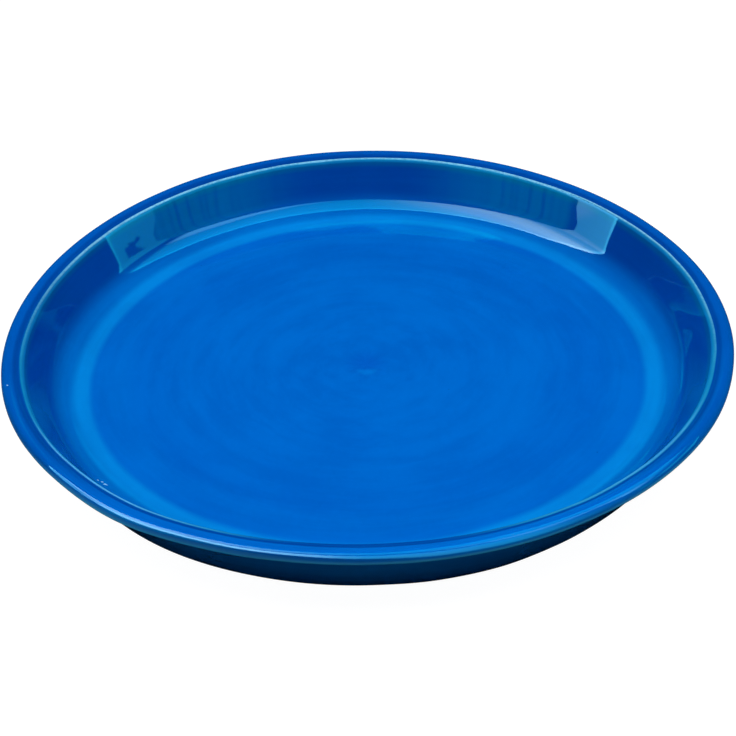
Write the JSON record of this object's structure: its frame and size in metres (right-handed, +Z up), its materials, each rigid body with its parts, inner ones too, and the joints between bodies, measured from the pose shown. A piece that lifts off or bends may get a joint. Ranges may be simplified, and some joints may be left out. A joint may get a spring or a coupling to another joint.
{
  "type": "plant saucer",
  "caption": "Round shallow glazed ceramic plant saucer with a flared wall, rolled rim and flat bare foot, for standing under a pot to catch water.",
  "frame": {"origin": "centre of the foot on the resting plane", "axes": "+Z up along the saucer's axis of revolution, X and Y in the resting plane"},
  "size_m": [0.3, 0.3, 0.029],
  "materials": {
    "clay": "matte bare fired buff clay, slightly gritty, with fine turning marks",
    "glaze": "glossy translucent cobalt blue glaze, darker where it is thick and paler where it breaks over the rim"
  },
  "bodies": {
    "root": {"clay_body": "clay", "glaze_coat": "glaze"}
  },
  "joints": []
}
